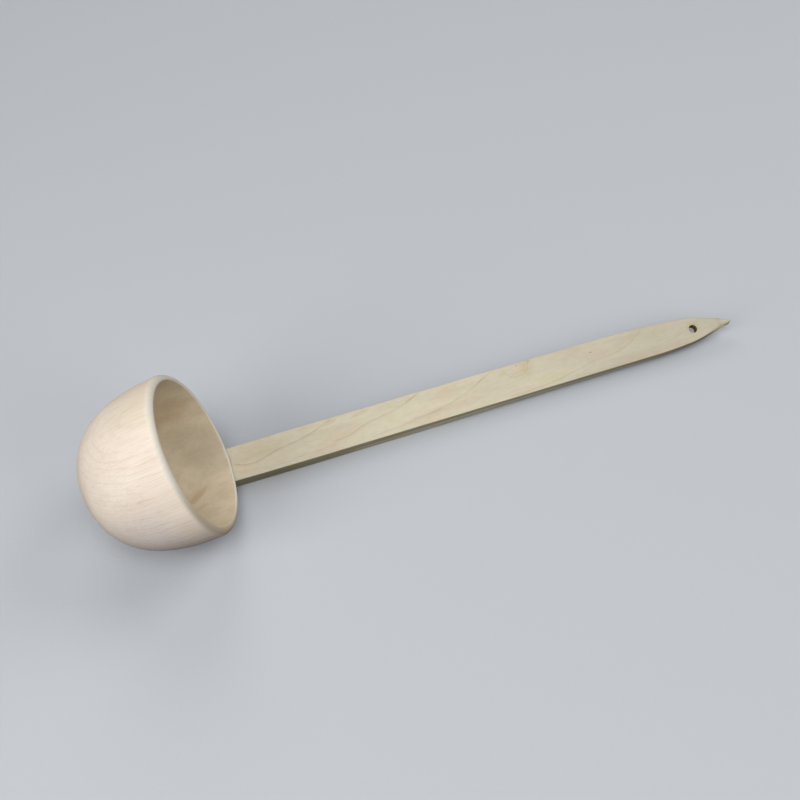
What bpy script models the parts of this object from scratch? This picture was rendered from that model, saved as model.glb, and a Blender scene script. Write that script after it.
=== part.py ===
"""Long-handled wooden ladle: a turned cup, a flat tapering handle and two hidden dowels.

The ladle lies as it rests on a table (z = 0): handle level along +X, mouth facing up and towards
the handle, the whole ladle rolled a little on to the near lower edge of its handle.
All lengths are in metres.
"""

import math

import bmesh
import bpy
from mathutils import Matrix, Vector

# ---- driving dimensions ---------------------------------------------------------------------------
RIM_RADIUS = 0.055          # outer radius of the cup at its mouth
CUP_DEPTH = 0.075           # outside height of the cup
WALL = 0.0048               # wall at the mouth
BOTTOM = 0.008              # wood under the deepest point of the hollow
CUP_POWER = 0.78            # fullness of the cup's side: 1 is an ellipse, less is fuller
SIDE_TOP = 0.0022           # the curve of the side starts this far below the mouth
ROLL_WIDE = 0.0036          # round-over on the outer edge of the mouth, across the wall
ROLL_DEEP = 0.0046          # and down the side
RIM_EASE = 0.0010           # smaller round-over on the inner edge

HANDLE_LEAN = math.radians(66.0)    # angle of the handle above the plane of the mouth
HANDLE_DROP = 0.0008        # how far the handle's wide face lies below the edge of the mouth
HANDLE_LENGTH = 0.3897      # from the cup to the point
HANDLE_TAIL = 0.026         # further wood that runs down the outside of the cup
HANDLE_WIDTH = 0.0247       # of the wide face
SIDE_SLANT = 0.119          # each side leans out towards the back by this much per metre of depth
ROOT_WAIST = 0.0004         # how much each edge comes in at the cup
ROOT_SWELL = 0.060          # the distance over which the handle reaches its full width
HANDLE_THICK = 0.0109       # from the cup to THIN_FROM
MIDDLE_THICK = 0.0077       # at THIN_TO
TIP_THICK = 0.0052          # at the point
THIN_FROM = 0.120           # the underside is pared away quickly between these two places
THIN_TO = 0.205             # and slowly from there to the point
POINT_LENGTH = 0.0297       # the straight cuts that end in the point
UPPER_SHOULDER = 0.070      # before the cuts, the +Y edge curves in over this length
UPPER_DROP = 0.0044         # and by this much
UPPER_CUT = 0.29            # slope of the straight cut on the +Y edge
LOWER_SHOULDER = 0.038      # the same three values for the -Y edge
LOWER_DROP = 0.0022
LOWER_CUT = 0.225
BLUNT_LENGTH = 0.012        # at the very end the +Y edge rounds down over this length
BLUNT_DROP = 0.0019         # and by this much
HANDLE_EASE = 0.0006        # rounding of the handle's long edges
HOLE_RADIUS = 0.0032        # hanging hole
HOLE_FROM_POINT = 0.0317

DOWEL_RADIUS = 0.0020
DOWEL_SPREAD = 0.0060       # each dowel's distance from the centre line
DOWEL_DROP = 0.0090         # below the mouth
DOWEL_IN_WALL = 0.0030
DOWEL_IN_HANDLE = 0.0055

GAP = 0.0003                # left between neighbouring pieces
REST_ROLL = math.radians(22.0)      # roll of the resting ladle about its handle

ROUND_STEPS = 64            # segments round the cup
SIDE_STEPS = 14             # segments down the side of the cup
CORNER_STEPS = 4            # segments in a rounded corner
BORE_STEPS = 32             # segments round a bore or a dowel
STATION_PITCH = 0.02        # distance between cross-sections where the handle is straight
FINE_PITCH = 0.008          # and where its outline curves
BLUNT_PITCH = 0.003         # and where its end rounds down
EASE_SHARE = 0.4            # a rounding takes at most this share of the width
SHARP_ANGLE = math.radians(35)      # edges sharper than this stay crisp in the shading
MERGE_DISTANCE = 1e-6


# ---- small helpers --------------------------------------------------------------------------------
def clear_scene():
    for old in list(bpy.data.objects):
        bpy.data.objects.remove(old, do_unlink=True)


def wood(name, colour, roughness):
    material = bpy.data.materials.new(name)
    material.use_nodes = True
    shader = material.node_tree.nodes["Principled BSDF"]
    shader.inputs["Base Color"].default_value = (*colour, 1.0)
    shader.inputs["Roughness"].default_value = roughness
    shader.inputs["Metallic"].default_value = 0.0
    material.diffuse_color = (*colour, 1.0)
    return material


def add_object(name, mesh_data, material=None):
    mesh = bpy.data.meshes.new(name)
    mesh_data.to_mesh(mesh)
    mesh_data.free()
    if material:
        mesh.materials.append(material)
    mesh.shade_smooth()
    mesh.set_sharp_from_angle(angle=SHARP_ANGLE)
    result = bpy.data.objects.new(name, mesh)
    bpy.context.collection.objects.link(result)
    return result


def as_cutter(cutter):
    cutter.hide_render = True
    cutter.display_type = "WIRE"
    return cutter


def cut(target, cutter):
    modifier = target.modifiers.new("cut_" + cutter.name, "BOOLEAN")
    modifier.operation = "DIFFERENCE"
    modifier.solver = "EXACT"
    modifier.object = cutter


def arc(centre, radius, start, end, steps):
    """Points (r, z) on an arc, from angle start to angle end, both ends included."""
    points = []
    for step in range(steps + 1):
        angle = start + (end - start) * step / steps
        points.append((centre[0] + radius * math.cos(angle), centre[1] + radius * math.sin(angle)))
    return points


def cup_side(radius, top, bottom, steps):
    """Points (r, z) down one side of the cup, from the mouth to the axis."""
    points = []
    for step in range(steps + 1):
        angle = 0.5 * math.pi * step / steps
        r = radius * math.cos(angle) ** CUP_POWER if step < steps else 0.0
        points.append((r, top + (bottom - top) * math.sin(angle) ** CUP_POWER))
    return points


def turned(name, profile, material=None):
    """Solid of revolution about Z from a profile whose two ends lie on the axis."""
    shape = bmesh.new()
    corners = [shape.verts.new((r, 0.0, z)) for r, z in profile]
    edges = [shape.edges.new(pair) for pair in zip(corners, corners[1:])]
    bmesh.ops.spin(shape, geom=corners + edges, axis=(0, 0, 1), cent=(0, 0, 0),
                   angle=2 * math.pi, steps=ROUND_STEPS, use_merge=True)
    bmesh.ops.remove_doubles(shape, verts=shape.verts, dist=MERGE_DISTANCE)
    bmesh.ops.recalc_face_normals(shape, faces=shape.faces)
    return add_object(name, shape, material)


def rod(name, radius, start, end, material=None):
    """Round rod between two points."""
    axis = Vector(end) - Vector(start)
    shape = bmesh.new()
    bmesh.ops.create_cone(shape, cap_ends=True, segments=BORE_STEPS, radius1=radius,
                          radius2=radius, depth=axis.length)
    result = add_object(name, shape, material)
    result.location = (Vector(start) + Vector(end)) / 2
    result.rotation_mode = "QUATERNION"
    result.rotation_quaternion = axis.to_track_quat("Z", "Y")
    return result


# ---- the cup --------------------------------------------------------------------------------------
def outer_profile():
    """Outside of the cup from the top of the mouth to the bottom."""
    roll = []
    for step in range(CORNER_STEPS + 1):
        angle = 0.5 * math.pi * step / CORNER_STEPS
        r = RIM_RADIUS - ROLL_WIDE * (1.0 - math.sin(angle))
        roll.append((r, -ROLL_DEEP * (1.0 - math.cos(angle))))
    side = cup_side(RIM_RADIUS, -SIDE_TOP, -CUP_DEPTH, SIDE_STEPS)
    return roll + [point for point in side if point[1] < -ROLL_DEEP]


def inner_profile():
    """Hollow of the cup from the bottom up to the flat of the mouth."""
    radius = RIM_RADIUS - WALL
    side = cup_side(radius, -RIM_EASE, BOTTOM - CUP_DEPTH, SIDE_STEPS)
    ease = arc((radius + RIM_EASE, -RIM_EASE), RIM_EASE, math.pi, 0.5 * math.pi, CORNER_STEPS)
    return side[::-1] + ease[1:]


def make_bowl(material):
    # outside from the bottom up, over the mouth, and down the hollow
    return turned("bowl", outer_profile()[::-1] + inner_profile()[::-1], material)


# ---- the handle, in its own frame: X along it from the cup, Z out of the wide face ---------------
def thickness(x):
    if x < THIN_TO:
        share = max(0.0, (x - THIN_FROM) / (THIN_TO - THIN_FROM))
        return HANDLE_THICK + (MIDDLE_THICK - HANDLE_THICK) * share ** 2 * (3.0 - 2.0 * share)
    share = (x - THIN_TO) / (HANDLE_LENGTH - THIN_TO)
    return MIDDLE_THICK + (TIP_THICK - MIDDLE_THICK) * share


def narrowing(x, shoulder, drop, cut_slope):
    """How far one edge has come in at x: a curved shoulder, then a straight cut to the point."""
    cut_start = HANDLE_LENGTH - POINT_LENGTH
    curved = max(0.0, (min(x, cut_start) - cut_start + shoulder) / shoulder)
    return drop * curved ** 2 + cut_slope * max(0.0, x - cut_start)


def face_edges(x):
    """The -Y and the +Y edge of the wide face at x."""
    waist = ROOT_WAIST * (1.0 - min(1.0, max(0.0, x / ROOT_SWELL))) ** 2
    half = 0.5 * HANDLE_WIDTH - waist
    blunt = BLUNT_DROP * max(0.0, 1.0 - (HANDLE_LENGTH - x) / BLUNT_LENGTH) ** 2
    return (narrowing(x, LOWER_SHOULDER, LOWER_DROP, LOWER_CUT) - half,
            half - narrowing(x, UPPER_SHOULDER, UPPER_DROP, UPPER_CUT) - blunt)


def spread(start, end, pitch):
    """Evenly spaced places from start up to, but not including, end."""
    count = round((end - start) / pitch)
    return [start + (end - start) * step / count for step in range(count)]


def stations():
    cut_start = HANDLE_LENGTH - POINT_LENGTH
    shoulder_start = cut_start - UPPER_SHOULDER
    blunt_start = HANDLE_LENGTH - BLUNT_LENGTH
    places = spread(-HANDLE_TAIL, 0.0, STATION_PITCH) + spread(0.0, ROOT_SWELL, FINE_PITCH)
    places += spread(ROOT_SWELL, THIN_FROM, STATION_PITCH) + spread(THIN_FROM, THIN_TO, FINE_PITCH)
    places += spread(THIN_TO, shoulder_start, STATION_PITCH) + spread(shoulder_start, cut_start, FINE_PITCH)
    places += spread(cut_start, blunt_start, FINE_PITCH) + spread(blunt_start, HANDLE_LENGTH, BLUNT_PITCH)
    return places + [HANDLE_LENGTH]


def section(x):
    """Rounded quadrilateral across the handle at x, as (y, z) points in order."""
    low, high = face_edges(x)
    deep = thickness(x)
    flare = SIDE_SLANT * deep
    ease = min(HANDLE_EASE, EASE_SHARE * (high - low))
    points = []
    for y, z, turn in ((high, 0.0, 0), (low, 0.0, 1), (low - flare, -deep, 2), (high + flare, -deep, 3)):
        centre_y = y + ease if turn in (1, 2) else y - ease
        centre_z = z - ease if turn in (0, 1) else z + ease
        start = 0.5 * math.pi * turn
        points += arc((centre_y, centre_z), ease, start, start + 0.5 * math.pi, CORNER_STEPS)
    return points


def make_handle(material):
    shape = bmesh.new()
    rings = []
    for x in stations():
        rings.append([shape.verts.new((x, y, z)) for y, z in section(x)])
    for ring, following in zip(rings, rings[1:]):
        for index in range(len(ring)):
            after = (index + 1) % len(ring)
            shape.faces.new((ring[index], ring[after], following[after], following[index]))
    shape.faces.new(rings[0][::-1])
    shape.faces.new(rings[-1])
    bmesh.ops.recalc_face_normals(shape, faces=shape.faces)
    handle = add_object("handle", shape, material)
    handle.rotation_euler = (0.0, -HANDLE_LEAN, 0.0)
    handle.location = (RIM_RADIUS + HANDLE_DROP * math.sin(HANDLE_LEAN), 0.0,
                       -HANDLE_DROP * math.cos(HANDLE_LEAN))
    return handle


def drill_hanging_hole(handle):
    x = HANDLE_LENGTH - HOLE_FROM_POINT
    y = 0.5 * sum(face_edges(x))
    drill = as_cutter(rod("hanging_hole", HOLE_RADIUS, (x, y, -2 * HANDLE_THICK), (x, y, HANDLE_THICK)))
    drill.parent = handle
    cut(handle, drill)


def cope_handle(handle):
    """Hollow the handle's end to the outside of the cup."""
    lid = [(0.0, HANDLE_THICK), (RIM_RADIUS + GAP, HANDLE_THICK), (RIM_RADIUS + GAP, -SIDE_TOP)]
    side = cup_side(RIM_RADIUS + GAP, -SIDE_TOP, -CUP_DEPTH - GAP, SIDE_STEPS)
    cut(handle, as_cutter(turned("cup_clearance", lid + side[1:])))


# ---- the dowels -----------------------------------------------------------------------------------
def make_dowel(name, y, bowl, handle, material):
    wall = math.sqrt(RIM_RADIUS ** 2 - y ** 2)
    inner = wall - DOWEL_IN_WALL
    outer = wall + DOWEL_IN_HANDLE
    rod(name, DOWEL_RADIUS, (inner, y, -DOWEL_DROP), (outer, y, -DOWEL_DROP), material)
    bore = as_cutter(rod(name + "_bore", DOWEL_RADIUS + GAP, (inner - GAP, y, -DOWEL_DROP),
                         (outer + GAP, y, -DOWEL_DROP)))
    cut(bowl, bore)
    cut(handle, bore)


# ---- resting pose ---------------------------------------------------------------------------------
def lay_on_table():
    """Parent all to one empty, turn it to the resting pose and centre the ladle on the origin."""
    loose = [item for item in bpy.data.objects if item.parent is None]
    rest = bpy.data.objects.new("ladle_rest", None)
    bpy.context.collection.objects.link(rest)
    for item in loose:
        item.parent = rest
    rest.matrix_world = Matrix.Rotation(REST_ROLL, 4, "X") @ Matrix.Rotation(HANDLE_LEAN, 4, "Y")
    bpy.context.view_layer.update()
    graph = bpy.context.evaluated_depsgraph_get()
    corners = []
    for item in loose:
        if item.type == "MESH" and not item.hide_render:
            solid = item.evaluated_get(graph)
            corners += [solid.matrix_world @ vertex.co for vertex in solid.data.vertices]
    low = [min(corner[axis] for corner in corners) for axis in range(3)]
    high = [max(corner[axis] for corner in corners) for axis in range(3)]
    rest.location = (-0.5 * (low[0] + high[0]), -0.5 * (low[1] + high[1]), -low[2])


def main():
    clear_scene()
    cup_wood = wood("cup_wood", (0.72, 0.60, 0.46), 0.62)
    slat_wood = wood("handle_wood", (0.66, 0.55, 0.38), 0.60)
    pin_wood = wood("dowel_wood", (0.62, 0.48, 0.30), 0.70)
    bowl = make_bowl(cup_wood)
    handle = make_handle(slat_wood)
    cope_handle(handle)
    make_dowel("dowel_left", DOWEL_SPREAD, bowl, handle, pin_wood)
    make_dowel("dowel_right", -DOWEL_SPREAD, bowl, handle, pin_wood)
    drill_hanging_hole(handle)
    lay_on_table()


main()
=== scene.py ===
"""Looks of the wooden ladle: a fine turned cup, a fine eased slat handle and their bare pale wood.

The cup is modelled in the ladle's own frame (Z is the cup's axis, the mouth is z = 0, the handle is
at +X). The slat is modelled in the handle's frame (X along it from the cup, Z out of its wide face).
Both meshes are then moved to the resting pose, so their objects sit at the world's origin, and the
wood's shaders work back from there to those two frames. Geometry is in metres, wood grain in
millimetres.
"""

import math

import bmesh
import bpy
from mathutils import Matrix, Vector


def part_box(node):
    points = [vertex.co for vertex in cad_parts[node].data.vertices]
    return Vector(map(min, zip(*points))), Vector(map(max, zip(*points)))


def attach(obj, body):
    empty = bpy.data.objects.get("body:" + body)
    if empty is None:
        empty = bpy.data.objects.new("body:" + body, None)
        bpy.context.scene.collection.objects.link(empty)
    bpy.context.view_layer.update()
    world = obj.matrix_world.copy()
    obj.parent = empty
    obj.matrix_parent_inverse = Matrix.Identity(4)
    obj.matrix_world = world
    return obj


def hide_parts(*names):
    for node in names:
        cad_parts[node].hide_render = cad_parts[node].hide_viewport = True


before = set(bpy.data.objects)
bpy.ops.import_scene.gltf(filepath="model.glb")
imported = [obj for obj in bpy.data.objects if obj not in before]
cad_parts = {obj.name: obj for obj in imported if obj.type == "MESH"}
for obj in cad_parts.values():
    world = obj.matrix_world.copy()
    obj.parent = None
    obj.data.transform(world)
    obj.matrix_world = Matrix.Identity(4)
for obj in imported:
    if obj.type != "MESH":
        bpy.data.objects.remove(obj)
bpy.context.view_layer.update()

# ---- driving dimensions, those of the CAD parts -----------------------------------------------------
RIM_RADIUS = 0.055          # outer radius of the cup at its mouth
CUP_DEPTH = 0.075
WALL = 0.0048               # at the mouth
BOTTOM = 0.008              # wood under the deepest point of the hollow
CUP_POWER = 0.78            # fullness of the cup's side: 1 is an ellipse
SIDE_TOP = 0.0022           # the curve of the side starts this far below the mouth
ROLL_WIDE = 0.0036          # round-over on the outer edge of the mouth, across the wall
ROLL_DEEP = 0.0046          # and down the side
RIM_EASE = 0.0010           # smaller round-over on the inner edge

HANDLE_LEAN = math.radians(66.0)    # angle of the handle above the plane of the mouth
HANDLE_DROP = 0.0008        # how far the handle's wide face lies below the edge of the mouth
HANDLE_LENGTH = 0.3897      # from the cup to the point
HANDLE_TAIL = 0.026         # further wood that runs down the outside of the cup
HANDLE_WIDTH = 0.0247       # of the wide face
SIDE_SLANT = 0.119          # each side leans out towards the back by this much per metre of depth
ROOT_WAIST = 0.0004         # how much each edge comes in at the cup
ROOT_SWELL = 0.060          # the distance over which the handle reaches its full width
HANDLE_THICK = 0.0109       # from the cup to THIN_FROM
MIDDLE_THICK = 0.0077       # at THIN_TO
TIP_THICK = 0.0052          # at the point
THIN_FROM = 0.120           # the underside is pared away quickly between these two places
THIN_TO = 0.205             # and slowly from there to the point
POINT_LENGTH = 0.0297       # the straight cuts that end in the point
UPPER_SHOULDER = 0.070      # before the cuts, the upper edge curves in over this length
UPPER_DROP = 0.0044         # and by this much
UPPER_CUT = 0.29            # slope of the straight cut on the upper edge
LOWER_SHOULDER = 0.038      # the same three values for the lower edge
LOWER_DROP = 0.0022
LOWER_CUT = 0.225
BLUNT_LENGTH = 0.012        # at the very end the upper edge rounds down over this length
BLUNT_DROP = 0.0019         # and by this much
HANDLE_EASE = 0.0006        # rounding of the handle's long edges
EASE_SHARE = 0.4            # most of a narrow end's width that one eased corner takes
HOLE_RADIUS = 0.0032        # hanging hole
HOLE_FROM_POINT = 0.0317

GAP = 0.0003                # left between neighbouring pieces
REST_ROLL = math.radians(22.0)      # roll of the resting ladle about its handle
MM = 1000.0                 # millimetres in a metre

# ---- hand finish, which the CAD parts leave out -----------------------------------------------------
CUT_BLEND = 0.004           # the straight cuts of the point start softly, over this length to each side
END_EASE = 0.0006           # softened edges of the handle's two ends
END_SHARE = 0.3             # most of a narrow end's width that this takes from each side
HOLE_EASE = 0.0003          # softened edge of the hanging hole
SANDING = 0.2               # share by which the eased edges vary along the handle
SANDING_PITCH = 0.047       # length of one such swell
TIP_EASE = 0.0028           # the edges are this much rounder at the point
TIP_EASE_LENGTH = 0.026     # and it grows over this length

# ---- fineness ---------------------------------------------------------------------------------------
ROUND_STEPS = 240           # segments round the cup
SIDE_STEPS = 72             # segments down the side of the cup
ROLL_STEPS = 16             # segments over the outer edge of the mouth
CORNER_STEPS = 8            # segments in a rounded corner
END_STEPS = 5               # sections in the rounding of the handle's ends
BORE_STEPS = 64             # segments round the hanging hole
STATION_PITCH = 0.004       # distance between the handle's cross-sections
POINT_PITCH = 0.001         # and where its outline curves in to the point
SHARP_ANGLE = math.radians(40)      # edges sharper than this stay crisp in the shading
MERGE_DISTANCE = 1e-7

# ---- camera -----------------------------------------------------------------------------------------
AIM = Vector((-0.0148, 0.0417, 0.0))    # the point on the floor in the middle of the picture
AZIMUTH = math.radians(20.26)       # clockwise from +Y, seen from above
ELEVATION = math.radians(50.15)
CAMERA_ROLL = math.radians(-0.58)   # about the line of sight
DISTANCE = 0.8137
LENS = 50.0                 # mm
SENSOR = 36.0               # mm


# ---- mesh helpers -----------------------------------------------------------------------------------
def arc(centre, radius, start, end, steps):
    """Points on an arc, from angle start to angle end, both ends included."""
    points = []
    for step in range(steps + 1):
        angle = start + (end - start) * step / steps
        points.append((centre[0] + radius * math.cos(angle), centre[1] + radius * math.sin(angle)))
    return points


def cup_side(radius, top, bottom):
    """Points (r, z) down one side of the cup, from the mouth to the axis."""
    points = []
    for step in range(SIDE_STEPS + 1):
        angle = 0.5 * math.pi * step / SIDE_STEPS
        r = radius * math.cos(angle) ** CUP_POWER if step < SIDE_STEPS else 0.0
        points.append((r, top + (bottom - top) * math.sin(angle) ** CUP_POWER))
    return points


def smooth(mesh):
    mesh.shade_smooth()
    mesh.set_sharp_from_angle(angle=SHARP_ANGLE)


def add_object(name, shape):
    mesh = bpy.data.meshes.new(name)
    bmesh.ops.recalc_face_normals(shape, faces=shape.faces)
    shape.to_mesh(mesh)
    shape.free()
    smooth(mesh)
    result = bpy.data.objects.new(name, mesh)
    bpy.context.scene.collection.objects.link(result)
    return result


def turned(name, profile, steps=ROUND_STEPS):
    """Solid of revolution about Z from a profile whose two ends lie on the axis."""
    shape = bmesh.new()
    corners = [shape.verts.new((r, 0.0, z)) for r, z in profile]
    edges = [shape.edges.new(pair) for pair in zip(corners, corners[1:])]
    bmesh.ops.spin(shape, geom=corners + edges, axis=(0, 0, 1), cent=(0, 0, 0),
                   angle=2 * math.pi, steps=steps, use_merge=True)
    bmesh.ops.remove_doubles(shape, verts=shape.verts, dist=MERGE_DISTANCE)
    return add_object(name, shape)


def cut_away(target, cutter):
    """Cuts the cutter out of the target for good and removes the cutter."""
    modifier = target.modifiers.new("cut", "BOOLEAN")
    modifier.operation = "DIFFERENCE"
    modifier.solver = "EXACT"
    modifier.object = cutter
    bpy.context.view_layer.update()
    graph = bpy.context.evaluated_depsgraph_get()
    mesh = bpy.data.meshes.new_from_object(target.evaluated_get(graph))
    target.modifiers.clear()
    target.data = mesh
    smooth(mesh)
    bpy.data.objects.remove(cutter, do_unlink=True)


# ---- the cup ----------------------------------------------------------------------------------------
def make_cup():
    """The cup as one turned solid: its mouth rounds over to the side, the hollow has an eased edge."""
    roll = []
    for step in range(ROLL_STEPS + 1):
        angle = 0.5 * math.pi * step / ROLL_STEPS
        r = RIM_RADIUS - ROLL_WIDE * (1.0 - math.sin(angle))
        roll.append((r, -ROLL_DEEP * (1.0 - math.cos(angle))))
    side = cup_side(RIM_RADIUS, -SIDE_TOP, -CUP_DEPTH)
    outside = roll + [point for point in side if point[1] < -ROLL_DEEP]
    radius = RIM_RADIUS - WALL
    ease = arc((radius + RIM_EASE, -RIM_EASE), RIM_EASE, math.pi, 0.5 * math.pi, CORNER_STEPS)
    inside = cup_side(radius, -RIM_EASE, BOTTOM - CUP_DEPTH)[::-1] + ease[1:]
    return turned("cup", outside[::-1] + inside[::-1])


# ---- the slat handle --------------------------------------------------------------------------------
def thickness(x):
    """The underside is pared away between THIN_FROM and THIN_TO, then slowly up to the point."""
    if x < THIN_TO:
        share = max(0.0, (x - THIN_FROM) / (THIN_TO - THIN_FROM))
        return HANDLE_THICK + (MIDDLE_THICK - HANDLE_THICK) * share ** 2 * (3.0 - 2.0 * share)
    share = (x - THIN_TO) / (HANDLE_LENGTH - THIN_TO)
    return MIDDLE_THICK + (TIP_THICK - MIDDLE_THICK) * share


def narrowing(x, shoulder, drop, cut_slope):
    """How far an edge has come in at x: a curved shoulder, then a straight cut that starts softly."""
    cut_start = HANDLE_LENGTH - POINT_LENGTH
    curved = max(0.0, (min(x, cut_start) - cut_start + shoulder) / shoulder)
    past = x - cut_start
    if abs(past) < CUT_BLEND:
        past = (past + CUT_BLEND) ** 2 / (4 * CUT_BLEND)
    return drop * curved ** 2 + cut_slope * max(0.0, past)


def face_edges(x):
    """Y of the lower and the upper edge of the wide face."""
    waist = ROOT_WAIST * (1.0 - min(1.0, max(0.0, x / ROOT_SWELL))) ** 2
    half = 0.5 * HANDLE_WIDTH - waist
    blunt = BLUNT_DROP * max(0.0, 1.0 - (HANDLE_LENGTH - x) / BLUNT_LENGTH) ** 2
    return (narrowing(x, LOWER_SHOULDER, LOWER_DROP, LOWER_CUT) - half,
            half - narrowing(x, UPPER_SHOULDER, UPPER_DROP, UPPER_CUT) - blunt)


def section(x, inset):
    """Rounded outline across the handle at x, as (y, z) points in order."""
    low, high = face_edges(x)
    deep = thickness(x)
    flare = SIDE_SLANT * deep
    inset = min(inset, END_SHARE * (high - low))
    rounder = TIP_EASE * max(0.0, 1.0 - (HANDLE_LENGTH - x) / TIP_EASE_LENGTH)
    points = []
    corners = [(high, 0.0), (low, 0.0), (low - flare, -deep), (high + flare, -deep)]
    for turn, (y, z) in enumerate(corners):
        swell = math.sin(2 * math.pi * x / SANDING_PITCH + 2.0 * turn)
        ease = HANDLE_EASE * (1.0 + SANDING * swell) + rounder
        ease = min(ease, EASE_SHARE * (high - low - 2 * inset))
        inward = ease + inset
        centre_y = y + inward if turn in (1, 2) else y - inward
        centre_z = z - inward if turn in (0, 1) else z + inward
        start = 0.5 * math.pi * turn
        points += arc((centre_y, centre_z), ease, start, start + 0.5 * math.pi, CORNER_STEPS)
    return points


def spread(start, end, pitch):
    """Evenly spaced places from start up to, but without, end."""
    count = round((end - start) / pitch)
    return [start + (end - start) * step / count for step in range(count)]


def stations():
    """Places along the handle with the inset of the section there, which rounds the two ends."""
    rounding = []
    for step in range(END_STEPS + 1):
        angle = 0.5 * math.pi * step / END_STEPS
        rounding.append((END_EASE * (1.0 - math.cos(angle)), END_EASE * (1.0 - math.sin(angle))))
    shoulder_start = HANDLE_LENGTH - POINT_LENGTH - UPPER_SHOULDER
    middle = spread(END_EASE - HANDLE_TAIL, shoulder_start, STATION_PITCH)
    middle += spread(shoulder_start, HANDLE_LENGTH - END_EASE, POINT_PITCH)
    result = [(along - HANDLE_TAIL, inset) for along, inset in rounding[:-1]]
    result += [(x, 0.0) for x in middle]
    result += [(HANDLE_LENGTH - along, inset) for along, inset in rounding[::-1]]
    return result


def make_slat():
    shape = bmesh.new()
    rings = []
    for x, inset in stations():
        rings.append([shape.verts.new((x, y, z)) for y, z in section(x, inset)])
    for ring, following in zip(rings, rings[1:]):
        for index in range(len(ring)):
            after = (index + 1) % len(ring)
            shape.faces.new((ring[index], ring[after], following[after], following[index]))
    shape.faces.new(rings[0][::-1])
    shape.faces.new(rings[-1])
    slat = add_object("slat", shape)
    cut_away(slat, cup_clearance())
    cut_away(slat, hanging_hole())
    return slat


def handle_in_ladle():
    """Matrix from the handle's frame to the ladle's frame."""
    start = Vector((RIM_RADIUS + HANDLE_DROP * math.sin(HANDLE_LEAN), 0.0,
                    -HANDLE_DROP * math.cos(HANDLE_LEAN)))
    return Matrix.Translation(start) @ Matrix.Rotation(-HANDLE_LEAN, 4, "Y")


def cup_clearance():
    """The cup's outside grown by the gap, in the handle's frame."""
    lid = [(0.0, HANDLE_THICK), (RIM_RADIUS + GAP, HANDLE_THICK), (RIM_RADIUS + GAP, -SIDE_TOP)]
    side = cup_side(RIM_RADIUS + GAP, -SIDE_TOP, -CUP_DEPTH - GAP)
    cutter = turned("cup_clearance", lid + side[1:])
    cutter.matrix_world = handle_in_ladle().inverted()
    return cutter


def hole_place():
    """X and Y of the hanging hole's centre, half way between the two edges of the face."""
    x = HANDLE_LENGTH - HOLE_FROM_POINT
    return x, 0.5 * sum(face_edges(x))


def hanging_hole():
    """A drill with flared ends, which leaves the hole's edges softened."""
    x, y = hole_place()
    deep = thickness(x)
    flare = HOLE_RADIUS + HOLE_EASE
    top = arc((flare, -HOLE_EASE), HOLE_EASE, 0.5 * math.pi, math.pi, CORNER_STEPS)
    foot = arc((flare, HOLE_EASE - deep), HOLE_EASE, math.pi, 1.5 * math.pi, CORNER_STEPS)
    profile = [(0.0, deep), (flare, deep)] + top + foot + [(flare, -2 * deep), (0.0, -2 * deep)]
    drill = turned("hanging_hole", profile, BORE_STEPS)
    drill.location = (x, y, 0.0)
    return drill


def dowel_bore(node):
    """The CAD dowel grown by the gap, already in its place in the world."""
    shape = bmesh.new()
    shape.from_mesh(node.data)
    bmesh.ops.remove_doubles(shape, verts=shape.verts, dist=0.01 * GAP)
    shape.normal_update()
    for corner in shape.verts:
        corner.co += GAP * corner.normal
    return add_object("dowel_bore", shape)


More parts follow.
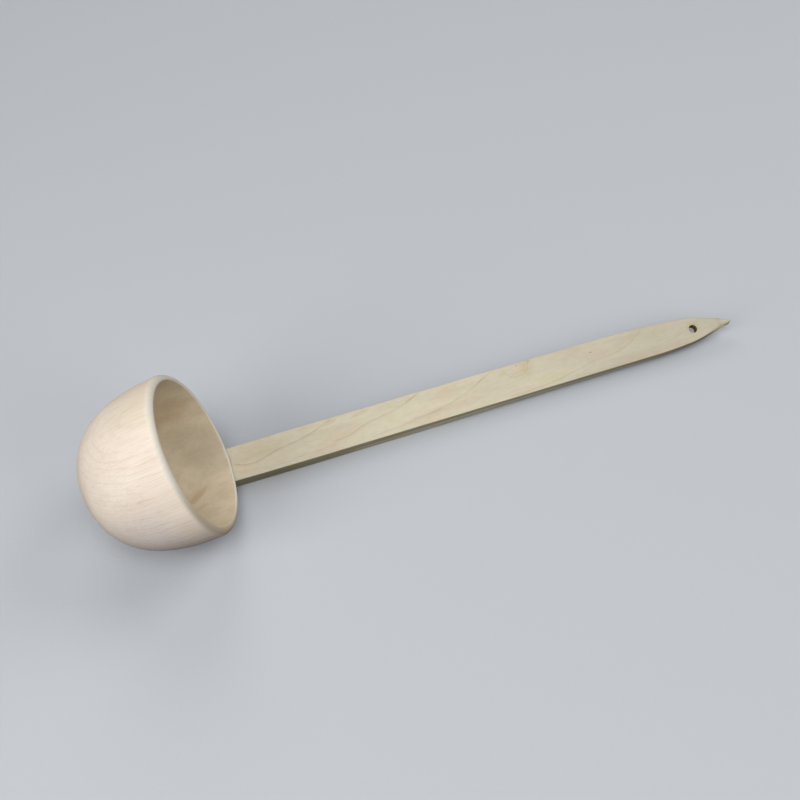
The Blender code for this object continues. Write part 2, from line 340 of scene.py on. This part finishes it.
# ---- shader helper ----------------------------------------------------------------------------------
class Shader:
    """One material's node tree, with short calls for the nodes that the wood needs."""

    def __init__(self, name):
        self.material = bpy.data.materials.new(name)
        self.material.use_nodes = True
        self.tree = self.material.node_tree
        self.surface = self.tree.nodes["Principled BSDF"]

    def add(self, kind, **settings):
        node = self.tree.nodes.new(kind)
        for key, value in settings.items():
            setattr(node, key, value)
        return node

    def feed(self, socket, value):
        if isinstance(value, bpy.types.NodeSocket):
            self.tree.links.new(value, socket)
        else:
            socket.default_value = value

    def math(self, operation, *values):
        node = self.add("ShaderNodeMath", operation=operation)
        for socket, value in zip(node.inputs, values):
            self.feed(socket, value)
        return node.outputs[0]

    def total(self, first, *others):
        for other in others:
            first = self.math("ADD", first, other)
        return first

    def product(self, first, *others):
        for other in others:
            first = self.math("MULTIPLY", first, other)
        return first

    def vector(self, operation, *values):
        node = self.add("ShaderNodeVectorMath", operation=operation)
        for socket, value in zip(node.inputs, values):
            self.feed(socket, value)
        return node.outputs["Value" if operation in ("DOT_PRODUCT", "LENGTH") else "Vector"]

    def combine(self, x, y, z):
        node = self.add("ShaderNodeCombineXYZ")
        for socket, value in zip(node.inputs, (x, y, z)):
            self.feed(socket, value)
        return node.outputs[0]

    def local(self, matrix):
        """The point's x, y and z in millimetres in the frame that the matrix takes to the world."""
        world = self.add("ShaderNodeTexCoord").outputs["Object"]
        result = []
        for row in matrix.inverted()[:3]:
            reach = self.vector("DOT_PRODUCT", world, MM * row.xyz)
            result.append(self.math("ADD", reach, MM * row.w))
        return result

    def facing(self, matrix, axis):
        """How squarely the surface faces one of the frame's axes, from -1 to 1."""
        normal = self.add("ShaderNodeNewGeometry").outputs["Normal"]
        return self.vector("DOT_PRODUCT", normal, matrix.to_3x3().col[axis])

    def squareness(self, matrix, axis):
        """How squarely the surface faces along the axis, either way, from 0 to 1."""
        return self.math("ABSOLUTE", self.facing(matrix, axis))

    def noise(self, place, scales, detail=2.0, roughness=0.5):
        """Noise from 0 to 1 at the place (x, y, z) in mm, with scales in blobs per mm."""
        node = self.add("ShaderNodeTexNoise", noise_dimensions="3D")
        self.feed(node.inputs["Vector"], self.vector("MULTIPLY", self.combine(*place), scales))
        self.feed(node.inputs["Scale"], 1.0)
        self.feed(node.inputs["Detail"], detail)
        self.feed(node.inputs["Roughness"], roughness)
        return node.outputs[0]

    def wander(self, noise, size):
        """Noise moved to swing about zero, by size to each side at most."""
        return self.product(self.math("SUBTRACT", noise, 0.5), 2.0 * size)

    def ramp(self, value, low, high, to_low=0.0, to_high=1.0):
        """Smooth step from to_low to to_high as value goes from low to high."""
        node = self.add("ShaderNodeMapRange", interpolation_type="SMOOTHSTEP", clamp=True)
        for socket, number in zip(node.inputs, (value, low, high, to_low, to_high)):
            self.feed(socket, number)
        return node.outputs[0]

    def bell(self, value, centre, width):
        """1 at the centre, fading to 0 at width from it."""
        away = self.math("ABSOLUTE", self.math("SUBTRACT", value, centre))
        return self.ramp(away, width, 0.0)

    def spot(self, place, centre, direction, length, width):
        """Soft mask about a centre, stretched along a direction."""
        away = self.vector("SUBTRACT", self.combine(*place), centre)
        unit = Vector(direction).normalized()
        along = self.vector("DOT_PRODUCT", away, unit)
        squared = self.vector("DOT_PRODUCT", away, away)
        side = self.math("SUBTRACT", squared, self.product(along, along))
        reach = self.total(self.product(along, along, length ** -2), self.product(side, width ** -2))
        return self.ramp(reach, 1.0, 0.0)

    def mix(self, factor, first, second, blend="MIX"):
        node = self.add("ShaderNodeMix", data_type="RGBA", blend_type=blend, clamp_factor=True)
        sockets = [socket for socket in node.inputs if socket.enabled]
        for socket, value in zip(sockets, (factor, first, second)):
            self.feed(socket, (*value, 1.0) if isinstance(value, tuple) else value)
        return [socket for socket in node.outputs if socket.enabled][0]

    def stain(self, colour, mask, strength, tint):
        """Colour multiplied by the tint where the mask is 1, as far as the strength says."""
        return self.mix(self.product(mask, strength), colour, tint, "MULTIPLY")

    def bump(self, height, depth):
        """Normal of a surface whose relief is depth metres where the height goes from 0 to 1."""
        node = self.add("ShaderNodeBump")
        self.feed(node.inputs["Strength"], 1.0)
        self.feed(node.inputs["Distance"], depth)
        self.feed(node.inputs["Height"], height)
        return node.outputs[0]

    def finish(self, colour, roughness, normal, gloss=0.35):
        self.feed(self.surface.inputs["Base Color"], colour)
        self.feed(self.surface.inputs["Roughness"], roughness)
        self.feed(self.surface.inputs["Normal"], normal)
        self.feed(self.surface.inputs["Specular IOR Level"], gloss)
        return self.material


RELIEF = 0.00006            # depth of the relief in the wood of the handle and the cup, metres
DOWEL_RELIEF = 0.00005
FLOOR_RELIEF = 0.0001


# ---- wood of the handle -----------------------------------------------------------------------------
LINE_CORE = 0.34            # half the width of a growth line, mm
LINE_SHADE = 2.4            # width of the soft shade on the lower side of a growth line, mm
CURVE_SPAN = 40.0           # a float curve's 0 to 1 stands for this many mm across the handle
LINE_SLANT = 6.0            # growth layers shift this far along the handle for each mm of depth
FINE_SLOPE = 0.16           # slope of the fine layers across the wide face
SIDE_LINE = (-5.4, -3.6)    # height of the line on the long sides, before and after the paring, mm
HALO_RADIUS = 7.5           # yellowed wood round the hanging hole, mm

# Growth lines on the wide face: strength, then points (along, across) in mm.
GROWTH_LINES = (
    (0.95, ((0.0, 0.9), (11.0, -2.9), (27.0, -0.1), (59.0, 6.0), (76.0, 12.4))),
    (0.30, ((28.0, -9.4), (59.0, -8.0), (76.0, -7.2))),
    (0.70, ((70.0, -5.0), (84.0, -3.3), (96.0, 0.3), (124.0, 5.9), (141.0, 12.4))),
    (0.62, ((96.0, -9.6), (127.0, -7.1), (149.0, -4.4), (170.0, 0.6), (197.0, 12.4))),
    (0.62, ((200.0, -10.7), (238.0, -9.1), (272.0, -3.0), (298.0, 0.1), (320.0, 12.4))),
    (0.34, ((320.0, -7.0), (338.0, -3.9), (352.0, -0.5), (368.0, 6.0))),
)
KNOT = (215.0, 13.0)        # centre of the knot, just off the upper edge of the face

# Stains on the wide face: centre in mm, slope, length and width in mm, strength, tint.
SMUDGES = (
    ((18.0, 4.5), 0.0, 28.0, 9.0, 0.8, (0.985, 0.93, 0.905)),
    ((73.0, 8.8), 0.25, 7.0, 1.5, 0.6, (0.90, 0.82, 0.70)),
    ((95.0, 9.2), 0.15, 9.0, 1.8, 0.6, (0.90, 0.83, 0.73)),
    ((133.0, 8.9), 0.28, 6.0, 1.0, 0.7, (0.86, 0.72, 0.55)),
    ((158.0, 5.0), 0.10, 16.0, 6.0, 0.8, (0.985, 0.93, 0.925)),
    ((186.5, 7.2), 0.40, 5.0, 0.9, 0.7, (0.90, 0.76, 0.58)),
    ((204.0, 7.5), 0.20, 5.0, 2.0, 0.6, (0.93, 0.85, 0.70)),
    ((218.0, 6.0), 0.0, 13.0, 7.0, 0.7, (0.985, 0.935, 0.90)),
    ((216.0, 10.4), 0.0, 1.2, 0.7, 0.6, (0.66, 0.55, 0.43)),
    ((226.0, 10.9), 0.0, 1.8, 1.0, 0.5, (0.74, 0.58, 0.44)),
    ((274.0, 4.1), 0.0, 1.2, 0.6, 0.8, (0.50, 0.42, 0.34)),
    ((303.0, 6.0), 0.15, 14.0, 3.0, 0.5, (0.95, 0.87, 0.78)),
    ((380.0, -1.0), 0.0, 2.5, 9.0, 0.7, (0.95, 0.86, 0.84)),
)


def growth_line(shader, along, across, points):
    """Mask of one growth line: a soft thin line with a wide weak shade on its lower side."""
    first = points[0][0]
    length = points[-1][0] - first
    node = shader.add("ShaderNodeFloatCurve")
    curve = node.mapping.curves[0]
    places = [((x - first) / length, y / CURVE_SPAN + 0.5) for x, y in points]
    curve.points[0].location = places[0]
    curve.points[1].location = places[-1]
    for place in places[1:-1]:
        curve.points.new(*place)
    node.mapping.update()
    share = shader.math("DIVIDE", shader.math("SUBTRACT", along, first), length)
    shader.feed(node.inputs["Value"], share)
    height = shader.product(shader.math("SUBTRACT", node.outputs[0], 0.5), CURVE_SPAN)
    off = shader.math("SUBTRACT", across, height)
    core = shader.bell(off, 0.0, LINE_CORE)
    shade = shader.product(shader.ramp(off, -LINE_SHADE, 0.0), shader.ramp(off, LINE_CORE, 0.0))
    ends = shader.product(shader.ramp(share, -0.02, 0.06), shader.ramp(share, 1.02, 0.94))
    return shader.product(shader.total(shader.product(core, 0.72), shader.product(shade, 0.28)), ends)


def knot_rings(shader, place):
    """Mask of the curved layers round the knot, and of the streaks that they leave beyond it."""
    x, y, z = place
    swirl = shader.wander(shader.noise(place, (0.22, 0.22, 0.1), 3.0), 1.3)
    reach = shader.vector("LENGTH", shader.combine(shader.math("SUBTRACT", x, KNOT[0]),
                                                   shader.math("SUBTRACT", y, KNOT[1]), 0.0))
    reach = shader.math("ADD", reach, swirl)
    inner = shader.product(shader.bell(reach, 8.8, 0.7), 0.6)
    outer = shader.bell(reach, 10.8, 0.9)
    streaks = shader.product(shader.noise((reach, y, z), (1.3, 0.12, 0.1), 3.0),
                             shader.ramp(reach, 19.0, 9.0), shader.ramp(x, KNOT[0], KNOT[0] + 9.0))
    sides = shader.ramp(x, KNOT[0] - 14.0, KNOT[0] + 8.0, 0.45, 1.0)
    return shader.math("MAXIMUM", shader.product(shader.math("MAXIMUM", inner, outer), sides), streaks)


def growth_layers(shader, place):
    """Masks of the strong growth lines on the handle and of the fine layers between them."""
    x, y, z = place
    wobble = shader.total(shader.wander(shader.noise(place, (0.07, 0.16, 0.16), 2.0), 1.1),
                          shader.wander(shader.noise(place, (0.5, 0.9, 0.9), 2.0), 0.18))
    across = shader.math("ADD", y, wobble)
    along = shader.math("ADD", x, shader.product(z, LINE_SLANT))
    lines = 0.0
    for strength, points in GROWTH_LINES:
        line = growth_line(shader, along, across, points)
        lines = shader.math("MAXIMUM", lines, shader.product(line, strength))
    uneven = shader.ramp(shader.noise(place, (0.06, 0.3, 0.3), 2.0), 0.25, 0.7, 0.45, 1.0)
    slanted = shader.math("SUBTRACT", across, shader.product(along, FINE_SLOPE))
    layers = shader.noise((along, slanted, z), (0.008, 0.42, 0.05), 3.0, 0.6)
    return shader.product(lines, uneven), layers


def plain_slat(shader, place):
    """Colour of the handle's wood without its grain: cloudy, pinkish here and greenish there, with
    painted shade darkening it towards the point.
    """
    figure = shader.noise(place, (0.012, 0.10, 0.10), 3.0)
    mottle = shader.noise(place, (0.16, 0.34, 0.34), 4.0, 0.65)
    blush = shader.noise(place, (0.02, 0.07, 0.07), 2.0)
    colour = shader.mix(shader.ramp(figure, 0.32, 0.68), (0.580, 0.534, 0.402), (0.632, 0.578, 0.436))
    # painted shade: the handle darker towards the point, where less light reaches it
    colour = shader.stain(colour, shader.ramp(place[0], 150.0, 340.0), 1.0, (0.82, 0.82, 0.83))
    colour = shader.stain(colour, shader.ramp(mottle, 0.40, 0.68), 0.8, (0.945, 0.925, 0.905))
    colour = shader.stain(colour, shader.ramp(blush, 0.48, 0.68), 0.9, (0.985, 0.925, 0.915))
    return shader.stain(colour, shader.ramp(blush, 0.45, 0.28), 0.9, (0.965, 0.985, 0.87))


def stained_and_shaded_face(shader, place, matrix, colour):
    """The smudges on the handle's wide face, the halo of the hanging hole and painted shade in its bore.
    """
    x, y, _ = place
    for centre, slope, length, width, strength, tint in SMUDGES:
        mask = shader.spot((x, y, 0.0), (*centre, 0.0), (1.0, slope, 0.0), length, width)
        colour = shader.stain(colour, mask, strength, tint)
    hole_x, hole_y = hole_place()
    halo = shader.spot((x, y, 0.0), (MM * hole_x, MM * hole_y, 0.0), (1, 0, 0), HALO_RADIUS, HALO_RADIUS)
    colour = shader.stain(colour, halo, 0.8, (0.97, 0.92, 0.78))
    # painted shade darkening the walls of the hanging hole
    bore = shader.product(halo, shader.ramp(shader.squareness(matrix, 2), 0.5, 0.2))
    return shader.stain(colour, bore, 1.0, (0.36, 0.27, 0.15))


def side_tones(shader, place, matrix, colour):
    """The long sides: dark above, pale below with a crisp line between, painted shade near the cup and
    painted light at the point.
    """
    x, _, z = place
    side = shader.ramp(shader.squareness(matrix, 1), 0.75, 0.92)
    middle = shader.total(shader.ramp(x, MM * THIN_FROM, MM * THIN_TO, *SIDE_LINE),
                          shader.wander(shader.noise(place, (0.03, 0.1, 0.1), 2.0), 1.0))
    pale = shader.product(shader.ramp(shader.math("SUBTRACT", middle, z), -0.15, 0.15),
                          shader.ramp(x, 70.0, 100.0), shader.ramp(x, 345.0, 300.0))
    colour = shader.stain(colour, side, shader.ramp(pale, 0.0, 1.0, 1.0, 0.0), (0.88, 0.88, 0.82))
    colour = shader.stain(colour, side, pale, (1.30, 1.31, 1.36))
    # painted shade on the sides near the cup
    colour = shader.stain(colour, side, shader.ramp(x, 70.0, 10.0), (0.86, 0.85, 0.85))
    # painted light lifting the shaded sides at the point
    return shader.stain(colour, side, shader.ramp(x, 366.0, 382.0), (1.8, 1.8, 1.8))


def handle_wood(matrix):
    shader = Shader("handle_wood_fine")
    place = shader.local(matrix)
    fibre = shader.noise(place, (0.022, 1.1, 1.1), 5.0, 0.62)
    pores = shader.noise(place, (0.5, 4.0, 4.0), 3.0)
    dashes = shader.ramp(shader.noise(place, (0.28, 2.4, 2.4), 2.0), 0.60, 0.78)
    lines, layers = growth_layers(shader, place)

    colour = plain_slat(shader, place)
    colour = shader.stain(colour, shader.ramp(fibre, 0.45, 0.75), 0.6, (0.92, 0.895, 0.86))
    colour = shader.stain(colour, shader.ramp(layers, 0.54, 0.72), 0.5, (0.93, 0.90, 0.86))
    colour = shader.stain(colour, dashes, 0.5, (0.88, 0.82, 0.75))
    colour = shader.stain(colour, lines, 1.0, (0.64, 0.54, 0.41))
    colour = shader.stain(colour, knot_rings(shader, place), 0.55, (0.80, 0.69, 0.53))
    colour = stained_and_shaded_face(shader, place, matrix, colour)

    # end grain is darker; the sanded edges are smoother and carry a painted highlight
    end = shader.ramp(shader.squareness(matrix, 0), 0.55, 0.95)
    colour = shader.stain(colour, end, 0.9, (0.82, 0.75, 0.68))
    squarest = shader.math("MAXIMUM", shader.squareness(matrix, 2), shader.squareness(matrix, 1))
    edge = shader.product(shader.ramp(squarest, 0.995, 0.80), shader.math("SUBTRACT", 1.0, end))
    edge_highlight = shader.ramp(shader.noise(place, (0.09, 0.5, 0.5), 3.0), 0.3, 0.7, 0.5, 1.0)
    # painted highlight along the eased edges, patchy along the handle
    colour = shader.stain(colour, edge, edge_highlight, (1.12, 1.11, 1.09))
    colour = side_tones(shader, place, matrix, colour)

    roughness = shader.ramp(fibre, 0.2, 0.8, 0.52, 0.68)
    roughness = shader.math("SUBTRACT", roughness, shader.product(edge, 0.12))
    relief = shader.total(shader.product(fibre, 0.6), shader.product(dashes, -0.5),
                          shader.product(lines, 0.5), shader.product(pores, 0.3))
    return shader.finish(colour, roughness, shader.bump(relief, RELIEF))


# ---- wood of the cup --------------------------------------------------------------------------------
LAYER_TURN = math.radians(156.0)    # growth layers are planes along the axis, square to this heading
LAYER_PITCH = 2.5           # from one layer to the next, mm
TOOLING = 9.0               # fine turning marks, in radians for each mm down the cup

# Stains inside the cup, and painted shade on the wall on the handle's side (the grey third entry):
# centre, direction, length and width in mm, strength, tint.
INNER_STAINS_AND_SHADE = (
    ((45.5, -14.5, -28.0), (-0.3, -0.5, -0.8), 13.0, 3.4, 0.8, (0.86, 0.77, 0.64)),
    ((43.0, -22.0, -24.0), (0.0, -0.4, -0.9), 8.0, 2.6, 0.5, (0.90, 0.82, 0.70)),
    # painted shade on the inner wall on the handle's side
    ((46.0, 17.0, -16.0), (0.0, -0.8, 0.6), 30.0, 20.0, 1.0, (0.86, 0.855, 0.85)),
    ((24.0, 42.0, -20.0), (0.2, 0.1, -1.0), 24.0, 13.0, 0.6, (0.88, 0.80, 0.70)),
)


class CupGrain:
    """The masks that the cup's outside, inside and mouth share."""

    def __init__(self, shader, place, upward):
        along_grain = shader.ramp(shader.math("ABSOLUTE", upward), 0.80, 0.15, 0.05, 1.0)
        fibre = shader.noise(place, (1.5, 1.5, 0.03), 5.0, 0.62)
        fibre = shader.product(shader.math("SUBTRACT", fibre, 0.5), along_grain)
        self.fibre = shader.math("ADD", 0.5, fibre)
        self.mottle = shader.noise(place, (0.13, 0.13, 0.07), 4.0, 0.6)
        self.fine = shader.noise(place, (0.6, 0.6, 0.4), 4.0, 0.65)
        dashes = shader.ramp(shader.noise(place, (1.7, 1.7, 0.16), 2.0), 0.58, 0.76)
        self.dashes = shader.product(dashes, along_grain)
        self.lines = self.layer_lines(shader, place)

    def layer_lines(self, shader, place):
        """Growth layers: sharp on the outer side of each late-wood line, fading inwards."""
        x, y, _ = place
        bent = shader.total(shader.product(x, math.cos(LAYER_TURN)),
                            shader.product(y, math.sin(LAYER_TURN)),
                            shader.wander(shader.noise(place, (0.03, 0.03, 0.012), 2.0), 3.2),
                            shader.wander(shader.noise(place, (0.25, 0.25, 0.05), 2.0), 0.35))
        count = shader.math("DIVIDE", bent, LAYER_PITCH)
        share = shader.math("FRACT", count)
        late = shader.product(shader.ramp(share, 0.55, 0.93), shader.ramp(share, 1.0, 0.93))
        year = shader.noise((shader.math("FLOOR", count), 0.0, 0.0), (0.77, 1.0, 1.0), 0.0)
        return shader.product(late, shader.ramp(year, 0.3, 0.7, 0.25, 1.0),
                              shader.ramp(self.mottle, 0.3, 0.7, 0.5, 1.0))


def inside_mask(shader, radius, z):
    """1 in the hollow of the cup, 0 outside, parted half way through the wall."""
    middle = MM * (RIM_RADIUS - 0.5 * WALL)
    depth = MM * (CUP_DEPTH - 0.5 * BOTTOM)
    down = shader.math("MAXIMUM", shader.product(z, -1.0 / depth), 0.0)
    reach = shader.total(shader.math("POWER", shader.product(radius, 1.0 / middle), 2.0 / CUP_POWER),
                         shader.math("POWER", down, 2.0 / CUP_POWER))
    return shader.product(shader.ramp(reach, 1.01, 0.99), shader.ramp(z, 0.0, -0.8))


def cup_outside(shader, place, upward, grain):
    """Colour of the outside: pale, with fibres and layers, and darker end grain at the bottom."""
    _, y, z = place
    cloud = shader.noise(place, (0.035, 0.035, 0.018), 3.0)
    streaks = shader.noise(place, (0.42, 0.42, 0.014), 3.0, 0.6)
    colour = shader.mix(shader.ramp(cloud, 0.35, 0.65), (0.870, 0.757, 0.642), (0.900, 0.803, 0.690))
    colour = shader.stain(colour, shader.ramp(cloud, 0.55, 0.75), 0.8, (0.99, 0.955, 0.955))
    colour = shader.stain(colour, shader.ramp(grain.fibre, 0.42, 0.72), 0.9, (0.90, 0.855, 0.825))
    colour = shader.stain(colour, shader.ramp(grain.mottle, 0.40, 0.65), 0.6, (0.97, 0.955, 0.95))
    colour = shader.stain(colour, grain.dashes, 0.5, (0.90, 0.85, 0.80))
    colour = shader.stain(colour, shader.ramp(streaks, 0.45, 0.68), 0.8, (0.955, 0.93, 0.915))
    colour = shader.stain(colour, grain.lines, 0.7, (0.89, 0.835, 0.775))
    # yellower on the far side below the mouth; painted shade with painted cool light reflected from the
    # floor, low on the near side
    upper = shader.spot(place, (-46.0, 29.0, -8.0), (0.0, 0.0, 1.0), 34.0, 26.0)
    colour = shader.stain(colour, upper, 1.0, (0.92, 0.925, 0.87))
    # painted shade and cool reflected light low on the near side
    under = shader.product(shader.ramp(y, -20.0, -50.0), shader.ramp(z, -8.0, -30.0))
    colour = shader.stain(colour, under, 1.0, (0.88, 0.905, 0.965))
    end = shader.ramp(shader.math("ABSOLUTE", upward), 0.55, 0.98)
    return shader.stain(colour, end, 0.7, (0.86, 0.83, 0.82))


def cup_inside(shader, place, grain):
    """Colour of the hollow: darker and yellower than the outside, partly the wood's tone and partly
    painted shade, with fainter grain, a few stains and a patch of painted shade.
    """
    # base colours darkened partly as painted shade of the hollow
    colour = shader.mix(shader.ramp(grain.mottle, 0.3, 0.7), (0.68, 0.59, 0.435), (0.77, 0.673, 0.515))
    colour = shader.stain(colour, shader.ramp(grain.fibre, 0.42, 0.75), 0.3, (0.92, 0.89, 0.85))
    colour = shader.stain(colour, shader.ramp(grain.fine, 0.45, 0.70), 0.7, (0.93, 0.90, 0.85))
    colour = shader.stain(colour, grain.lines, 0.25, (0.90, 0.84, 0.76))
    colour = shader.stain(colour, grain.dashes, 0.2, (0.90, 0.85, 0.78))
    for centre, direction, length, width, strength, tint in INNER_STAINS_AND_SHADE:
        mask = shader.spot(place, centre, direction, length, width)
        colour = shader.stain(colour, mask, strength, tint)
    return colour


def cup_mouth(shader, place, grain):
    """The greyer end grain of the mouth, with painted shade making it darker and browner on the near
    side.
    """
    colour = shader.mix(grain.fine, (0.62, 0.575, 0.49), (0.72, 0.67, 0.585))
    # painted shade on the near side of the mouth
    return shader.stain(colour, shader.ramp(place[1], -22.0, -48.0), 1.0, (0.77, 0.69, 0.60))


def cup_wood(matrix):
    shader = Shader("cup_wood_fine")
    place = shader.local(matrix)
    x, y, z = place
    upward = shader.facing(matrix, 2)
    radius = shader.vector("LENGTH", shader.combine(x, y, 0.0))
    grain = CupGrain(shader, place, upward)

    colour = shader.mix(inside_mask(shader, radius, z), cup_outside(shader, place, upward, grain),
                        cup_inside(shader, place, grain))
    mouth = shader.product(shader.ramp(upward, 0.10, 0.80), shader.ramp(z, -5.0, -2.5))
    colour = shader.mix(mouth, colour, cup_mouth(shader, place, grain))

    down_cup = shader.total(z, shader.product(radius, 0.7))
    tooling = shader.math("SINE", shader.product(down_cup, TOOLING))
    pores = shader.noise(place, (3.0, 3.0, 0.6), 3.0)
    roughness = shader.ramp(grain.fibre, 0.2, 0.8, 0.50, 0.66)
    relief = shader.total(shader.product(grain.fibre, 0.6), shader.product(grain.dashes, -0.4),
                          shader.product(grain.lines, 0.4), shader.product(tooling, 0.05),
                          shader.product(pores, 0.3))
    return shader.finish(colour, roughness, shader.bump(relief, RELIEF))


def dowel_wood(matrix):
    """Plain darker wood with its grain along the dowels."""
    shader = Shader("dowel_wood_fine")
    place = shader.local(matrix)
    fibre = shader.noise(place, (1.4, 1.4, 0.12), 4.0, 0.6)
    colour = shader.mix(fibre, (0.50, 0.38, 0.23), (0.62, 0.49, 0.32))
    dashes = shader.ramp(shader.noise(place, (3.0, 3.0, 0.5), 2.0), 0.6, 0.8)
    colour = shader.stain(colour, dashes, 0.6, (0.8, 0.7, 0.6))
    roughness = shader.ramp(fibre, 0.2, 0.8, 0.6, 0.75)
    return shader.finish(colour, roughness, shader.bump(fibre, DOWEL_RELIEF))


# ---- resting pose -----------------------------------------------------------------------------------
def rest_matrix(cup):
    """Matrix from the ladle's frame to the world, which puts the cup where the CAD bowl is."""
    turn = Matrix.Rotation(REST_ROLL, 4, "X") @ Matrix.Rotation(HANDLE_LEAN, 4, "Y")
    corners = [turn @ vertex.co for vertex in cup.data.vertices]
    low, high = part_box("bowl")
    shift = []
    for axis in range(3):
        places = [corner[axis] for corner in corners]
        shift.append(0.5 * (low[axis] + high[axis]) - 0.5 * (min(places) + max(places)))
    return Matrix.Translation(Vector(shift)) @ turn


# ---- stage ------------------------------------------------------------------------------------------
LIGHT_DISTANCE = 1.9        # from the world's origin
FLOOR_SIZE = 8.0
FLOOR_SEEN = (0.50, 0.52, 0.55)     # the floor's colour as the camera sees it
FLOOR_BOUNCE = (0.05, 0.05, 0.055)  # and as it throws light back at the wood, like a dark cloth
WORLD_LIGHT = 0.11          # strength of the light from everywhere, in the floor's colour

# Lights: name, direction from the ladle, size in metres, strength.
LIGHTS = (
    ("top", (-0.22, -0.40, 0.89), 1.3, 0.43),
    ("left", (-0.80, -0.30, 0.50), 1.2, 0.48),
    ("right", (0.70, 0.15, 0.70), 1.2, 0.33),
    ("front", (0.45, -0.75, 0.50), 1.2, 0.24),
    ("back", (0.00, 0.75, 0.66), 1.2, 0.24),
)


def make_floor():
    half = 0.5 * FLOOR_SIZE
    shape = bmesh.new()
    shape.faces.new([shape.verts.new(corner) for corner in
                     ((-half, -half, 0.0), (half, -half, 0.0), (half, half, 0.0), (-half, half, 0.0))])
    floor = add_object("floor", shape)
    shader = Shader("pale_floor")
    grain = shader.noise(shader.local(Matrix.Identity(4)), (0.4, 0.4, 0.4), 3.0)
    seen = shader.stain(FLOOR_SEEN, grain, 0.3, (0.96, 0.96, 0.96))
    camera_ray = shader.add("ShaderNodeLightPath").outputs["Is Camera Ray"]
    colour = shader.mix(camera_ray, FLOOR_BOUNCE, seen)
    floor.data.materials.append(shader.finish(colour, 0.9, shader.bump(grain, FLOOR_RELIEF), 0.1))


def soft_light(name, direction, size, strength):
    """Round soft box. A white surface that faces it is as bright as the strength says."""
    light = bpy.data.lights.new(name, "AREA")
    light.shape = "DISK"
    light.size = size
    light.energy = strength * (math.pi * LIGHT_DISTANCE) ** 2
    result = bpy.data.objects.new(name, light)
    bpy.context.scene.collection.objects.link(result)
    result.location = LIGHT_DISTANCE * Vector(direction).normalized()
    result.rotation_euler = Vector(direction).to_track_quat("Z", "Y").to_euler()


def make_world():
    """Weak light from everywhere in the floor's colour, which the camera sees as a pale backdrop."""
    world = bpy.data.worlds.new("studio")
    world.use_nodes = True
    background = world.node_tree.nodes["Background"]
    background.inputs["Color"].default_value = (*FLOOR_SEEN, 1.0)
    strength = world.node_tree.nodes.new("ShaderNodeMix")
    strength.inputs["A"].default_value = WORLD_LIGHT
    strength.inputs["B"].default_value = 1.0
    camera_ray = world.node_tree.nodes.new("ShaderNodeLightPath").outputs["Is Camera Ray"]
    world.node_tree.links.new(camera_ray, strength.inputs["Factor"])
    world.node_tree.links.new(strength.outputs["Result"], background.inputs["Strength"])
    bpy.context.scene.world = world


def make_camera():
    camera_data = bpy.data.cameras.new("camera")
    camera_data.lens = LENS
    camera_data.sensor_width = SENSOR
    camera = bpy.data.objects.new("camera", camera_data)
    bpy.context.scene.collection.objects.link(camera)
    level = Matrix.Rotation(-AZIMUTH, 4, "Z") @ Matrix.Rotation(0.5 * math.pi - ELEVATION, 4, "X")
    backward = level.col[2].xyz
    camera.matrix_world = (Matrix.Translation(AIM + DISTANCE * backward) @ level
                           @ Matrix.Rotation(CAMERA_ROLL, 4, "Z"))
    bpy.context.scene.camera = camera


# ---- build ------------------------------------------------------------------------------------------
DOWELS = ("dowel_left", "dowel_right")


def put_in_place(piece, matrix, node, wood):
    """Moves a fine piece to its place, bores it for the dowels and lets it replace its CAD node."""
    piece.data.transform(matrix)
    for dowel in DOWELS:
        cut_away(piece, dowel_bore(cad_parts[dowel]))
    piece.data.materials.clear()
    piece.data.materials.append(wood)
    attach(piece, "root")
    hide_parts(node)


def dress_dowels(wood):
    for dowel in DOWELS:
        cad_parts[dowel].data.materials.clear()
        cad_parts[dowel].data.materials.append(wood)


cup = make_cup()
slat = make_slat()
cup_matrix = rest_matrix(cup)
slat_matrix = cup_matrix @ handle_in_ladle()
put_in_place(cup, cup_matrix, "bowl", cup_wood(cup_matrix))
put_in_place(slat, slat_matrix, "handle", handle_wood(slat_matrix))
dress_dowels(dowel_wood(slat_matrix @ Matrix.Rotation(0.5 * math.pi, 4, "Y")))

make_floor()
for light in LIGHTS:
    soft_light(*light)
make_world()
make_camera()
bpy.context.scene.view_settings.view_transform = "Standard"
